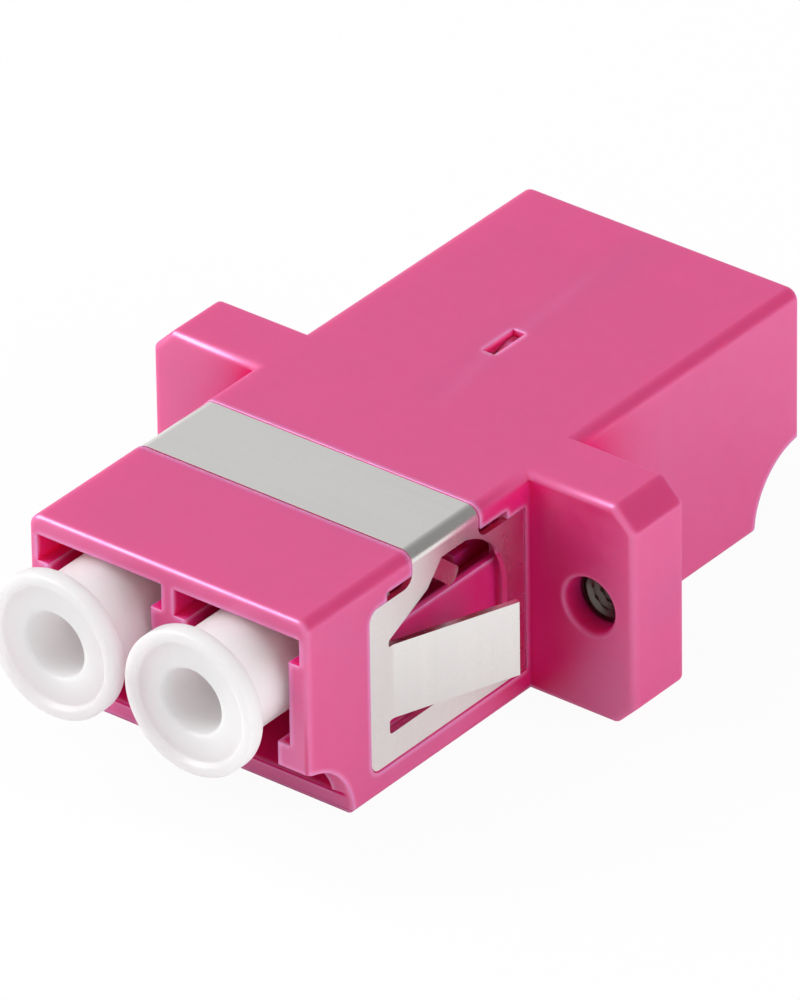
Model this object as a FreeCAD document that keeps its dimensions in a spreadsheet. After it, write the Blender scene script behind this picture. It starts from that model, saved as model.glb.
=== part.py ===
"""Duplex fibre adapter with a screw flange, a folded spring clip and two dust caps, in millimetres.

The plugs go in along Y. The capped front end points to -Y and the open rear end to +Y. +X is across
both ports and +Z is up, away from the latch side. The origin is the middle of the flat underside, in
the plane of the flange's front face, where a panel seats.
"""
import FreeCAD, Part
import math
import os
import re
import Sketcher
from FreeCAD import Placement, Rotation, Vector

doc = FreeCAD.newDocument("fibre_adapter")
sheet = doc.addObject("Spreadsheet::Sheet", "Sizes")

SIZES = [
    ("front_reach", 12.85, "flange front face to the front end of the body"),
    ("rear_reach", 16.2, "flange front face to the rear end of the body"),
    ("port_pitch", 6.25, "distance between the two optical axes"),
    ("plug_size", 4.5, "square body of the mating plug"),
    ("plug_clearance", 0.1, "plug body to the port's sides and ceiling"),
    ("side_wall", 0.875, "wall beside each port, which makes the body 12.7 wide"),
    ("roof_thickness", 0.75, "wall above the ports, which makes the body 9.2 high"),
    ("floor_thickness", 0.8, "wall under the latch space"),
    ("latch_space", 2.0, "height of the latch space"),
    ("latch_throat", 3.6, "gap between the two catch rails of a port"),
    ("rail_thickness", 1.05, "height of a catch rail"),
    ("rail_length", 4.6, "catch rail from the mouth inwards"),
    ("top_edge_radius", 0.5, "rounding of the two long top edges"),
    ("low_edge_radius", 0.3, "rounding of the two long bottom edges"),
    ("end_edge_radius", 0.2, "rounding round the front and rear faces"),
    ("relief_side", 0.5, "how much each front mouth widens to each side at its top"),
    ("relief_height", 1.1, "height of that widening"),
    ("relief_depth", 2.4, "depth of that widening"),
    ("front_scoop_radius", 2.9, "thumb scoop under the front mouth"),
    ("front_scoop_setback", 0.43, "its centre ahead of the front face"),
    ("rear_scoop_radius", 2.95, "thumb scoop under the rear mouth"),
    ("rear_scoop_setback", 0.2, "its centre behind the rear face"),
    ("flange_thickness", 3.0, "flange along the plug direction"),
    ("ear_chamfer", 0.9, "bevel of the four outer ear corners"),
    ("flange_edge_radius", 0.27, "rounding of the flange edges"),
    ("screw_offset", 2.65, "side of the body to a screw's axis, which puts the screws 18.0 apart"),
    ("screw_hole_radius", 1.12, "moulded hole in the panel side of each ear"),
    ("hole_edge_radius", 0.15, "rounding of that hole's mouth"),
    ("insert_radius", 1.6, "outside of the threaded insert and its seat"),
    ("ear_wall", 0.45, "wall from that seat to the end of the ear, which makes the flange 22.1 wide"),
    ("insert_length", 2.0, "threaded insert along its axis"),
    ("insert_bore_radius", 0.8, "core of the insert's M2 thread"),
    ("insert_groove_depth", 0.15, "ring groove round the insert"),
    ("insert_groove_width", 0.4, "ring groove along the insert"),
    ("optical_plane", 1.7, "where the ferrules meet, behind the flange's front face"),
    ("web_thickness", 1.2, "wall of the housing across the body at the optical plane"),
    ("barrel_radius", 1.5, "outside of the barrels that the plugs slip over"),
    ("barrel_length", 2.7, "barrel beyond its wall"),
    ("lip_thickness", 0.45, "lip that holds the sleeve in its barrel"),
    ("ferrule_hole_radius", 0.7, "hole in that lip"),
    ("barrel_lead_in", 0.25, "bevel of the lip's mouth"),
    ("sleeve_outer_radius", 0.81, "outside of the split alignment sleeve"),
    ("sleeve_wall", 0.186, "its wall, so that the bore is a little under the 1.249 ferrule"),
    ("sleeve_slit", 0.3, "slit along the sleeve"),
    ("sleeve_play", 0.05, "sleeve to its pocket, radially and at each end"),
    ("retainer_thickness", 1.2, "cross plate of the sleeve retainer"),
    ("retainer_clearance", 0.05, "retainer to the housing"),
    ("rib_key_depth", 0.25, "how far the retainer's rib runs in the ceiling and floor grooves"),
    ("rib_setback", 0.4, "rear end of the rib inside the rear face"),
    ("snap_slot_width", 0.56, "snap window in the top face"),
    ("snap_slot_length", 1.85, "the same, along the plug direction"),
    ("snap_slot_start", 5.8, "its front edge behind the flange's front face"),
    ("hook_height", 0.3, "hook above the rib's top edge"),
    ("hook_length", 1.35, "hook along the rib"),
    ("hook_crest", 0.45, "flat top of the hook"),
    ("hook_root", 0.1, "hook's lap into the tongue"),
    ("tongue_depth", 1.15, "snap tongue below the rib's top edge"),
    ("tongue_length", 3.9, "snap tongue from its root to its free end"),
    ("tongue_gap", 0.45, "slit that frees the tongue"),
    ("sheet_thickness", 0.25, "spring steel of the mounting clip"),
    ("clip_sink", 0.05, "side plates below the sides of the body"),
    ("clip_gap", 0.06, "moulded recess round the clip"),
    ("clip_bend_radius", 0.5, "outside of the clip's two top bends"),
    ("strip_width", 3.82, "top strip along the plug direction"),
    ("strip_setback", 2.65, "rear edge of the top strip ahead of the plates' rear edge"),
    ("plate_length", 8.96, "side plates along the plug direction"),
    ("plate_end_gap", 0.3, "rear edge of the side plates to the flange"),
    ("plate_bottom", 1.08, "lower edge of the side plates above the underside"),
    ("plate_drop", 1.33, "upper edge of the wide part of the side plates below the top face"),
    ("plate_corner_radius", 0.5, "inner corners between the top strip and the wide part"),
    ("plate_edge_radius", 0.45, "front corners of the side plates"),
    ("front_leg_width", 1.07, "side plate ahead of the window's front tip"),
    ("rear_leg_width", 1.0, "side plate behind the window"),
    ("foot_width", 1.17, "side plate below the window"),
    ("window_tip_drop", 3.0, "front tip of the window below the top face"),
    ("window_knee_drop", 1.94, "where the window's sloping edge turns up, below the top face"),
    ("window_top_drop", 1.01, "top edge of the window below the top face"),
    ("window_top_length", 1.43, "straight part of that top edge"),
    ("window_arc_width", 2.4, "rounded upper rear corner of the window, along the plug direction"),
    ("window_arc_height", 3.1, "the same corner, from the top edge to the rear leg"),
    ("window_arc_radius", 3.2, "radius of that corner"),
    ("window_corner_radius", 0.15, "rounding of the window's front tip and lower front corner"),
    ("leaf_low_gap", 0.6, "lower edge of the window to the spring leaf"),
    ("leaf_high_gap", 0.27, "spring leaf to the height of the window's front tip"),
    ("leaf_relief", 0.2, "slits above and below the leaf, ahead of its bend"),
    ("relief_radius", 0.1, "rounding where those slits meet the leaf"),
    ("leaf_length", 5.25, "straight part of the spring leaf"),
    ("leaf_angle", 20.4, "degrees that the leaf stands out"),
    ("leaf_bend_radius", 0.3, "inside of the leaf's and the tab's bends"),
    ("tab_tilt", 40.0, "slope in degrees of the inward tab, square to its bend line"),
    ("tab_height", 0.75, "inward tab along its bend line"),
    ("tab_clearance", 0.12, "lowest corner of the tab above the ledge under it"),
    ("tab_tip_radius", 0.3, "rounding of the tab's tip"),
    ("tab_angle", 11.0, "degrees that the tab stands in"),
    ("root_lap", 0.2, "lap of the leaf and of the tab into the plate"),
    ("leaf_pocket_depth", 0.3, "pocket behind the leaf, below the clip's recess"),
    ("leaf_pocket_margin", 0.1, "how far that pocket and the wall opening run behind the plate round the window"),
    ("ledge_gap", 0.22, "leaf to the ledge between its pocket and the wall opening above it"),
    ("cap_standoff", 2.83, "front face of a dust cap ahead of the body"),
    ("cap_disc_gap", 0.45, "gap between the two grip discs, which makes them 5.8 across"),
    ("cap_disc_thickness", 0.75, "grip disc along its axis"),
    ("cap_rim_width", 0.42, "raised rim round the disc's face"),
    ("cap_dish_depth", 0.5, "how far the face lies below the rim"),
    ("cap_dish_draft", 0.12, "taper of the rim's inner wall"),
    ("cap_edge_bevel", 0.12, "bevel of the disc's edges"),
    ("cap_barrel_play", 0.1, "barrel that plugs the port, to the catch rails"),
    ("cap_insertion", 6.6, "barrel inside the port"),
    ("cap_tip_chamfer", 0.35, "lead-in bevel of the barrel"),
    ("cap_bore_radius", 1.3, "blind bore in the face"),
    ("cap_bore_depth", 5.0, "depth of that bore"),
    ("cap_tail_bore_radius", 1.45, "bore in the inner end"),
    ("cap_partition", 1.23, "solid wall between the two bores"),
]


def fill_sheet():
    """Writes each size as a row: its name, its value under that alias, and what it measures."""
    for row, (name, size, meaning) in enumerate(SIZES, start=1):
        sheet.set("A%d" % row, name)
        sheet.set("B%d" % row, str(size))
        sheet.setAlias("B%d" % row, name)
        sheet.set("C%d" % row, meaning)
    doc.recompute()


KNOWN = {name for name, _, _ in SIZES}

# Places that several pieces share, written once in the names of the sheet.
FRONT = "(-front_reach)"
REAR = "rear_reach"
RAIL_LOW = "(floor_thickness + latch_space)"
RAIL_TOP = "(%s + rail_thickness)" % RAIL_LOW
OPTICAL_HEIGHT = "(%s + plug_size / 2)" % RAIL_TOP
CEILING = "(%s + plug_size + plug_clearance)" % RAIL_TOP
TOP = "(%s + roof_thickness)" % CEILING
PORT_HALF = "(plug_size / 2 + plug_clearance)"
CAVITY_HALF = "(port_pitch / 2 + %s)" % PORT_HALF
RIB_HALF = "(port_pitch / 2 - %s)" % PORT_HALF
BODY_HALF = "(%s + side_wall)" % CAVITY_HALF
SCREW_AXIS = "(%s + screw_offset)" % BODY_HALF
FLANGE_HALF = "(%s + insert_radius + ear_wall)" % SCREW_AXIS
FRONT_POCKET = "(web_thickness + barrel_length - lip_thickness)"
REAR_POCKET = "(retainer_thickness + barrel_length - lip_thickness)"
CLIP_OUT = "(%s - clip_sink)" % BODY_HALF
CLIP_IN = "(%s - sheet_thickness)" % CLIP_OUT
CLIP_FLAT = "(%s - clip_bend_radius)" % CLIP_OUT
CLIP_UNDER = "(%s - sheet_thickness)" % TOP
CLIP_TURN = "(%s - clip_bend_radius)" % TOP
PLATE_REAR = "(-plate_end_gap)"
PLATE_FRONT = "(%s - plate_length)" % PLATE_REAR
PLATE_TOP = "(%s - plate_drop)" % TOP
STRIP_REAR = "(%s - strip_setback)" % PLATE_REAR
STRIP_FRONT = "(%s - strip_width)" % STRIP_REAR
WINDOW_FRONT = "(%s + front_leg_width)" % PLATE_FRONT
WINDOW_REAR = "(%s - rear_leg_width)" % PLATE_REAR
WINDOW_LOW = "(plate_bottom + foot_width)"
WINDOW_TIP = "(%s - window_tip_drop)" % TOP
WINDOW_TOP = "(%s - window_top_drop)" % TOP
KNEE_HEIGHT = "(%s - window_knee_drop)" % TOP
TAB_TOP_START = "(%s - window_arc_width - window_top_length)" % WINDOW_REAR
KNEE = "(%s - (window_knee_drop - window_top_drop) * tan(tab_tilt * 1deg))" % TAB_TOP_START
LEAF_LOW = "(%s + leaf_low_gap)" % WINDOW_LOW
LEAF_TOP = "(%s - leaf_high_gap)" % WINDOW_TIP
LEDGE = "(%s + ledge_gap)" % LEAF_TOP
TAB_FALL = "(%s - tab_height * cos(tab_tilt * 1deg) - %s - tab_clearance)" % (WINDOW_TOP, LEDGE)
TAB_BEND = "((leaf_bend_radius + sheet_thickness) * sin(tab_angle * 1deg))"
TAB_LENGTH = "((%s / sin(tab_tilt * 1deg) - %s) / cos(tab_angle * 1deg))" % (TAB_FALL, TAB_BEND)
CAP_DISC_RADIUS = "((port_pitch - cap_disc_gap) / 2)"
CAP_BARREL_RADIUS = "(plug_size / 2 - cap_barrel_play)"
BEYOND = "2"
ACROSS = "(2 * %s + %s)" % (BODY_HALF, BEYOND)
SIDES = (("left", -1), ("right", 1))

PLANES = {"section": ("XZ_Plane", -1), "side": ("YZ_Plane", 1), "plan": ("XY_Plane", 1)}


def formula(text):
    """Puts the sheet's name before each size in a formula."""
    def named(word):
        return "Sizes." + word.group(0) if word.group(0) in KNOWN else word.group(0)
    return re.sub(r"[a-z_][a-z_0-9]*", named, text)


def value(text):
    """What a formula comes to now."""
    return float(sheet.evalExpression(formula(text)))


def new_body(label):
    body = doc.addObject("PartDesign::Body", label)
    body.Label = label
    return body


def new_sketch(body, plane, name, place="0"):
    """An empty sketch square to Y (section), X (side) or Z (plan), at a place along that axis."""
    role, normal = PLANES[plane]
    support = next(item for item in body.Origin.OriginFeatures if item.Role == role)
    sketch = body.newObject("Sketcher::SketchObject", name)
    sketch.AttachmentSupport = [(support, "")]
    sketch.MapMode = "FlatFace"
    sketch.setExpression(".AttachmentOffset.Base.z", formula("%d * (%s)" % (normal, place)))
    doc.recompute()
    return sketch


def bind(sketch, constraint, text):
    """Adds a sized constraint and ties it to a formula of the sheet."""
    index = sketch.addConstraint(constraint)
    sketch.setExpression("Constraints[%d]" % index, formula(text))


def arc_between(start, end, radius, turn):
    """The shorter arc from start to end that turns left (1) or right (-1), and its centre."""
    chord = end - start
    left = Vector(-chord.y, chord.x, 0).normalize()
    rise = math.sqrt(max(radius ** 2 - (chord.Length / 2) ** 2, 0.0))
    centre = (start + end) * 0.5 + left * (turn * rise)
    first, last = (start, end) if turn > 0 else (end, start)
    angles = [math.atan2(point.y - centre.y, point.x - centre.x) for point in (first, last)]
    return Part.ArcOfCircle(Part.Circle(centre, Vector(0, 0, 1), radius), *angles)


def outline(sketch, corners):
    """Draws a closed outline whose corners and radii are all bound to the sheet.

    A corner is (along, up), or (along, up, radius, turn) where the run to the next corner is an arc
    of that radius turning left (1) or right (-1).
    """
    points = [Vector(value(corner[0]), value(corner[1]), 0) for corner in corners]
    first = sketch.GeometryCount
    ends = []
    for index, corner in enumerate(corners):
        start, end = points[index], points[(index + 1) % len(points)]
        if len(corner) == 2:
            sketch.addGeometry(Part.LineSegment(start, end), False)
            ends.append((1, 2))
        else:
            sketch.addGeometry(arc_between(start, end, value(corner[2]), corner[3]), False)
            ends.append((1, 2) if corner[3] > 0 else (2, 1))
    for index, corner in enumerate(corners):
        after = (index + 1) % len(corners)
        sketch.addConstraint(Sketcher.Constraint("Coincident", first + index, ends[index][1],
                                                 first + after, ends[after][0]))
    for index, corner in enumerate(corners):
        run, end = first + index, ends[index][0]
        bind(sketch, Sketcher.Constraint("DistanceX", -1, 1, run, end, points[index].x), corner[0])
        bind(sketch, Sketcher.Constraint("DistanceY", -1, 1, run, end, points[index].y), corner[1])
        if len(corner) > 2:
            bind(sketch, Sketcher.Constraint("Radius", run, value(corner[2])), corner[2])


def circle(sketch, along, up, radius):
    """Draws a circle whose centre and radius are bound to the sheet."""
    centre = Vector(value(along), value(up), 0)
    run = sketch.addGeometry(Part.Circle(centre, Vector(0, 0, 1), value(radius)), False)
    bind(sketch, Sketcher.Constraint("DistanceX", -1, 1, run, 3, centre.x), along)
    bind(sketch, Sketcher.Constraint("DistanceY", -1, 1, run, 3, centre.y), up)
    bind(sketch, Sketcher.Constraint("Radius", run, value(radius)), radius)


def rectangle(sketch, low_along, low_up, high_along, high_up):
    outline(sketch, [(low_along, low_up), (high_along, low_up), (high_along, high_up), (low_along, high_up)])


def settle(body, before, grows, name):
    """Recomputes and makes sure that a feature has added or removed material."""
    doc.recompute()
    after = body.Shape.Volume
    if (after > before) != grows or abs(after - before) < 1e-6:
        raise ValueError("feature %s of %s left the volume at %.4f" % (name, body.Label, after))


def extrude(body, plane, name, draw, place="0", length=None, towards=1, cut=False):
    """Pads or pockets a drawn sketch along +axis (1), -axis (-1) or evenly both ways (0).

    A length of None cuts through everything.
    """
    before = body.Shape.Volume if body.Tip else 0.0
    sketch = new_sketch(body, plane, name + "_sketch", place)
    draw(sketch)
    feature = body.newObject("PartDesign::Pocket" if cut else "PartDesign::Pad", name)
    feature.Profile = sketch
    if length is None:
        feature.Type = "ThroughAll"
    else:
        feature.setExpression("Length", formula(length))
    natural = PLANES[plane][1] * (-1 if cut else 1)
    if towards == 0:
        feature.SideType = "Symmetric"
    else:
        feature.Reversed = towards != natural
    sketch.Visibility = False
    settle(body, before, not cut, name)
    return feature


def turn(body, name, corners):
    """Revolves an outline of (along Y, radius) corners about the body's own Y axis."""
    sketch = new_sketch(body, "side", name + "_sketch")
    outline(sketch, corners)
    feature = body.newObject("PartDesign::Revolution", name)
    feature.Profile = sketch
    feature.ReferenceAxis = (sketch, ["H_Axis"])
    feature.Angle = 360
    sketch.Visibility = False
    settle(body, 0.0, True, name)


def dress(body, kind, name, size, chosen, grows=False):
    """Fillets or bevels every edge of the body whose end points all pass the test.

    An inner corner grows the body.
    """
    before = body.Shape.Volume
    tip = body.Tip
    names = ["Edge%d" % (index + 1) for index, edge in enumerate(tip.Shape.Edges)
             if all(chosen(vertex.Point) for vertex in edge.Vertexes)]
    feature = body.newObject("PartDesign::" + kind, name)
    feature.Base = (tip, names)
    feature.setExpression("Radius" if kind == "Fillet" else "Size", formula(size))
    settle(body, before, grows, name)


def near(number, text):
    return abs(number - value(text)) < 1e-4


def optical_axis(side):
    """How far a port's axis lies from the middle of the adapter."""
    return "%d * port_pitch / 2" % side


def place_body(body, along_x, along_y, along_z):
    """Puts a body that is modelled about its own Y axis at its place in the adapter."""
    for axis, text in zip("xyz", (along_x, along_y, along_z)):
        body.setExpression(".Placement.Base." + axis, formula(text))
    doc.recompute()


def flange_outline(sketch):
    """The flange across both ears, with bevelled outer corners."""
    inner = FLANGE_HALF + " - ear_chamfer"
    high = TOP + " - ear_chamfer"
    outline(sketch, [
        ("-(%s)" % inner, "0"), (inner, "0"), (FLANGE_HALF, "ear_chamfer"), (FLANGE_HALF, high),
        (inner, TOP), ("-(%s)" % inner, TOP), ("-" + FLANGE_HALF, high), ("-" + FLANGE_HALF, "ear_chamfer"),
    ])


def body_outline(sketch):
    """The body across both ports, with rounded long edges."""
    low, high = "low_edge_radius", "top_edge_radius"
    shoulder = "%s - %s" % (TOP, high)
    outline(sketch, [
        ("-" + BODY_HALF, low, low, 1), ("-%s + %s" % (BODY_HALF, low), "0"),
        ("%s - %s" % (BODY_HALF, low), "0", low, 1), (BODY_HALF, low),
        (BODY_HALF, shoulder, high, 1), ("%s - %s" % (BODY_HALF, high), TOP),
        ("-%s + %s" % (BODY_HALF, high), TOP, high, 1), ("-" + BODY_HALF, shoulder),
    ])


def railed_outline(sketch, middle, wall, throat):
    """A port's mouth: the plug space over the latch space, with catch rails between them.

    The walls and the narrower throat between the rails are distances to each side of the middle.
    """
    left, right = "%s - %s" % (middle, wall), "%s + %s" % (middle, wall)
    left_throat, right_throat = "%s - %s" % (middle, throat), "%s + %s" % (middle, throat)
    outline(sketch, [
        (left, "floor_thickness"), (right, "floor_thickness"), (right, RAIL_LOW),
        (right_throat, RAIL_LOW), (right_throat, RAIL_TOP), (right, RAIL_TOP),
        (right, CEILING), (left, CEILING), (left, RAIL_TOP),
        (left_throat, RAIL_TOP), (left_throat, RAIL_LOW), (left, RAIL_LOW),
    ])


def barrel(body, side, wall, towards):
    """A barrel on the plug side of a wall, on the optical axis of one port."""
    extrude(body, "section", "barrel_%+d" % side,
            lambda s: circle(s, optical_axis(side), OPTICAL_HEIGHT, "barrel_radius"),
            wall, "barrel_length", towards)


def sleeve_bore(body, side, wall, pocket, towards):
    """The sleeve's pocket from the optical plane, the lip's hole beyond it and its bevelled mouth.

    The wall is the thickness that the barrel stands on, and the pocket the depth for the sleeve.
    """
    middle = optical_axis(side)
    reach = wall + " + barrel_length"
    extrude(body, "section", "sleeve_pocket_%+d" % side,
            lambda s: circle(s, middle, OPTICAL_HEIGHT, "sleeve_outer_radius + sleeve_play"),
            "optical_plane", pocket, towards, cut=True)
    extrude(body, "section", "lip_hole_%+d" % side,
            lambda s: circle(s, middle, OPTICAL_HEIGHT, "ferrule_hole_radius"),
            "optical_plane", reach, towards, cut=True)

    def on_rim(point):
        off_axis = math.hypot(point.x - value(middle), point.z - value(OPTICAL_HEIGHT))
        nose = "optical_plane + %d * (%s)" % (towards, reach)
        return near(point.y, nose) and near(off_axis, "ferrule_hole_radius")

    dress(body, "Chamfer", "lip_bevel_%+d" % side, "barrel_lead_in", on_rim)


def make_housing():
    """The one-piece moulding: body, flange, front ports, front barrels and the seats of all else."""
    body = new_body("housing")
    extrude(body, "section", "flange", flange_outline, "0", "flange_thickness")
    dress(body, "Fillet", "flange_edges", "flange_edge_radius", lambda point: True)
    extrude(body, "section", "block", body_outline, FRONT, "front_reach + rear_reach")
    dress(body, "Fillet", "end_edges", "end_edge_radius",
          lambda point: near(point.y, FRONT) or near(point.y, REAR))
    cut_scoops(body)
    for name, side in SIDES:
        cut_front_port(body, name, side)
    cut_rear_cavity(body)
    for _, side in SIDES:
        barrel(body, side, "optical_plane - web_thickness", -1)
        sleeve_bore(body, side, "web_thickness", FRONT_POCKET, -1)
    extrude(body, "plan", "snap_slot",
            lambda s: rectangle(s, "-snap_slot_width / 2", "snap_slot_start",
                                "snap_slot_width / 2", "snap_slot_start + snap_slot_length"),
            TOP, "roof_thickness", -1, cut=True)
    cut_clip_seat(body)
    for name, side in SIDES:
        cut_ear_hole(body, name, side)
    return body


def cut_scoops(body):
    """Hollows the front and rear bottom edges so that a thumb reaches the plug's latch."""
    extrude(body, "side", "front_scoop",
            lambda s: circle(s, FRONT + " - front_scoop_setback", "0", "front_scoop_radius"),
            length=ACROSS, towards=0, cut=True)
    extrude(body, "side", "rear_scoop",
            lambda s: circle(s, REAR + " + rear_scoop_setback", "0", "rear_scoop_radius"),
            length=ACROSS, towards=0, cut=True)


def cut_front_port(body, name, side):
    """One front port: railed mouth, widened top and the wide space behind the rails."""
    middle = optical_axis(side)
    depth = "front_reach + optical_plane - web_thickness"
    relief = "(%s + relief_side)" % PORT_HALF
    extrude(body, "section", name + "_mouth",
            lambda s: railed_outline(s, middle, PORT_HALF, "latch_throat / 2"),
            FRONT, "rail_length", 1, cut=True)
    extrude(body, "section", name + "_port",
            lambda s: rectangle(s, "%s - %s" % (middle, PORT_HALF), "floor_thickness",
                                "%s + %s" % (middle, PORT_HALF), CEILING),
            FRONT + " + rail_length", depth + " - rail_length", 1, cut=True)
    extrude(body, "section", name + "_relief",
            lambda s: rectangle(s, "%s - %s" % (middle, relief), CEILING + " - relief_height",
                                "%s + %s" % (middle, relief), CEILING),
            FRONT, "relief_depth", 1, cut=True)


def cut_rear_cavity(body):
    """One wide space from the rear face to the optical plane, with outer rails and rib grooves."""
    throat = "(port_pitch / 2 + latch_throat / 2)"
    groove = RIB_HALF + " + retainer_clearance"
    depth = "rear_reach - optical_plane"
    extrude(body, "section", "rear_mouth", lambda s: railed_outline(s, "0", CAVITY_HALF, throat),
            REAR, "rail_length", -1, cut=True)
    extrude(body, "section", "rear_cavity",
            lambda s: rectangle(s, "-" + CAVITY_HALF, "floor_thickness", CAVITY_HALF, CEILING),
            REAR + " - rail_length", depth + " - rail_length", -1, cut=True)
    extrude(body, "section", "rib_grooves",
            lambda s: rectangle(s, "-(%s)" % groove, "floor_thickness - rib_key_depth",
                                groove, CEILING + " + rib_key_depth"),
            REAR, depth, -1, cut=True)


def clip_side_outline(sketch, gap):
    """The clip seen from the side, grown by a gap: wide plate, and the strip that rises to the top."""
    top = TOP + " + " + BEYOND
    corner = "plate_corner_radius"
    edge = "(plate_edge_radius + %s)" % gap
    front, low = PLATE_FRONT + " - " + gap, "plate_bottom - " + gap
    shoulder = PLATE_TOP + " + " + gap
    outline(sketch, [
        ("%s + %s" % (front, edge), low), (PLATE_REAR + " + " + gap, low),
        (PLATE_REAR + " + " + gap, shoulder),
        ("%s + %s + %s" % (STRIP_REAR, gap, corner), shoulder, corner, -1),
        (STRIP_REAR + " + " + gap, "%s + %s" % (shoulder, corner)),
        (STRIP_REAR + " + " + gap, top), (STRIP_FRONT + " - " + gap, top),
        (STRIP_FRONT + " - " + gap, "%s + %s" % (shoulder, corner), corner, -1),
        ("%s - %s - %s" % (STRIP_FRONT, gap, corner), shoulder),
        ("%s + %s" % (front, edge), shoulder, edge, 1), (front, "%s - %s" % (shoulder, edge)),
        (front, "%s + %s" % (low, edge), edge, 1),
    ])


def cut_clip_seat(body):
    """The clip's recess over the top and both sides, with the leaf pockets and wall openings."""
    out = BODY_HALF + " + " + BEYOND
    high = TOP + " + " + BEYOND
    inner_radius = "clip_bend_radius - sheet_thickness"
    extrude(body, "section", "clip_groove",
            lambda s: outline(s, [
                (CLIP_IN, PLATE_TOP), (out, PLATE_TOP), (out, high),
                ("-(%s)" % out, high), ("-(%s)" % out, PLATE_TOP),
                ("-" + CLIP_IN, PLATE_TOP), ("-" + CLIP_IN, CLIP_TURN, inner_radius, -1),
                ("-" + CLIP_FLAT, CLIP_UNDER), (CLIP_FLAT, CLIP_UNDER, inner_radius, -1),
                (CLIP_IN, CLIP_TURN),
            ]),
            STRIP_FRONT + " - clip_gap", "strip_width + 2 * clip_gap", 1, cut=True)
    for name, side in SIDES:
        extrude(body, "side", name + "_clip_recess", lambda s: clip_side_outline(s, "clip_gap"),
                "%d * %s" % (side, CLIP_IN), BEYOND, side, cut=True)
        extrude(body, "side", name + "_leaf_pocket",
                lambda s: rectangle(s, WINDOW_FRONT + " - leaf_pocket_margin",
                                    WINDOW_LOW + " - leaf_pocket_margin", WINDOW_REAR, LEDGE),
                "%d * (%s - leaf_pocket_depth)" % (side, CLIP_IN), BEYOND, side, cut=True)
        extrude(body, "side", name + "_wall_opening",
                lambda s: rectangle(s, WINDOW_FRONT + " - leaf_pocket_margin", LEDGE,
                                    WINDOW_REAR, WINDOW_TOP + " + leaf_pocket_margin"),
                optical_axis(side), BODY_HALF, side, cut=True)


def cut_ear_hole(body, name, side):
    """A screw hole through one ear, widened from the rear to seat the threaded insert."""
    middle = "%d * %s" % (side, SCREW_AXIS)
    extrude(body, "section", name + "_screw_hole",
            lambda s: circle(s, middle, TOP + " / 2", "screw_hole_radius"),
            "0", "flange_thickness", 1, cut=True)

    def on_mouth(point):
        off_axis = math.hypot(point.x - value(middle), point.z - value(TOP + " / 2"))
        return near(point.y, "0") and near(off_axis, "screw_hole_radius")

    dress(body, "Fillet", name + "_hole_edge", "hole_edge_radius", on_mouth)
    extrude(body, "section", name + "_insert_seat",
            lambda s: circle(s, middle, TOP + " / 2", "insert_radius"),
            "flange_thickness", "insert_length", -1, cut=True)


def make_retainer():
    """The moulding pushed in from the rear: cross plate, rear barrels, rib and snap tongue."""
    body = new_body("sleeve_retainer")
    clear = "retainer_clearance"
    rib_top = "%s + rib_key_depth - %s" % (CEILING, clear)
    rib_end = REAR + " - rib_setback"
    extrude(body, "section", "plate",
            lambda s: rectangle(s, "-(%s - %s)" % (CAVITY_HALF, clear), "floor_thickness + " + clear,
                                "%s - %s" % (CAVITY_HALF, clear), "%s - %s" % (CEILING, clear)),
            "optical_plane", "retainer_thickness")
    extrude(body, "section", "rib",
            lambda s: rectangle(s, "-" + RIB_HALF, "floor_thickness - rib_key_depth + " + clear,
                                RIB_HALF, rib_top),
            "optical_plane", rib_end + " - optical_plane")
    throat = "(port_pitch / 2 - latch_throat / 2)"
    extrude(body, "section", "rib_rails", lambda s: rectangle(s, "-" + throat, RAIL_LOW, throat, RAIL_TOP),
            rib_end, "rail_length - rib_setback", -1)
    extrude(body, "side", "rib_scoop",
            lambda s: circle(s, REAR + " + rear_scoop_setback", "0", "rear_scoop_radius + " + clear),
            length=ACROSS, towards=0, cut=True)
    for _, side in SIDES:
        barrel(body, side, "optical_plane + retainer_thickness", 1)
        sleeve_bore(body, side, "retainer_thickness", REAR_POCKET, 1)
    cut_tongue(body, rib_top)
    add_hook(body, rib_top)
    return body


def cut_tongue(body, rib_top):
    """An L-shaped slit through the rib that frees a tongue along its top edge."""
    free_end = "snap_slot_start + snap_slot_length + retainer_clearance"
    low = "%s - tongue_depth" % rib_top
    extrude(body, "side", "tongue_slit",
            lambda s: outline(s, [
                (free_end + " - tongue_length", low + " - tongue_gap"),
                (free_end + " + tongue_gap", low + " - tongue_gap"),
                (free_end + " + tongue_gap", rib_top + " + hook_height"),
                (free_end, rib_top + " + hook_height"), (free_end, low),
                (free_end + " - tongue_length", low),
            ]),
            length="2 * (%s + retainer_clearance)" % RIB_HALF, towards=0, cut=True)


def add_hook(body, rib_top):
    """The wedge on the tongue that springs up into the snap slot, steep side to the rear."""
    rear = "snap_slot_start + snap_slot_length - retainer_clearance"
    crest = rib_top + " + hook_height"
    root = rib_top + " - hook_root"
    extrude(body, "side", "hook",
            lambda s: outline(s, [
                (rear + " - hook_length", root), (rear, root), (rear, crest),
                (rear + " - hook_crest", crest), (rear + " - hook_length", rib_top),
            ]),
            length="snap_slot_width - 2 * retainer_clearance", towards=0)


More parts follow.
